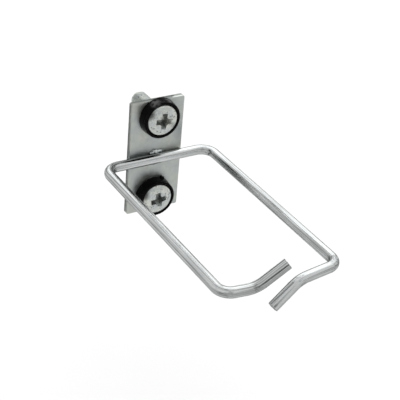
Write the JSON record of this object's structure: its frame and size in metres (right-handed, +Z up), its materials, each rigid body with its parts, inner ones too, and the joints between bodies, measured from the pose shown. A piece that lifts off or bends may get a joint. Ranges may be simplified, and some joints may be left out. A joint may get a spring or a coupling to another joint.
{
  "type": "rack cable hook",
  "caption": "Cable hook for a rack upright: an open ring of bent wire welded to a flat plate, with pan-head screws in plastic cup washers.",
  "frame": {"origin": "middle of the plate's back face, halfway between the two screws", "axes": "+X right along the plate's width, +Y out of its back along the screw shanks, +Z up along the rack upright; the ring reaches out along -Y"},
  "size_m": [0.045, 0.1013, 0.0462],
  "materials": {
    "plate_zinc": "galvanised sheet, dull, with soft reflections",
    "wire_zinc": "bright zinc plating with fine lengthwise drawing lines",
    "weld_metal": "lumpy fused steel under zinc plating",
    "screw_zinc": "satin zinc plating, slightly mottled",
    "black_plastic": "moulded, glossy black"
  },
  "bodies": {
    "root": {"mounting_plate": "plate_zinc", "wire_ring": "wire_zinc", "upper_weld_bead": "weld_metal", "lower_weld_bead": "weld_metal", "upper_screw": "screw_zinc", "lower_screw": "screw_zinc", "upper_cup_washer": "black_plastic", "lower_cup_washer": "black_plastic"}
  },
  "joints": []
}
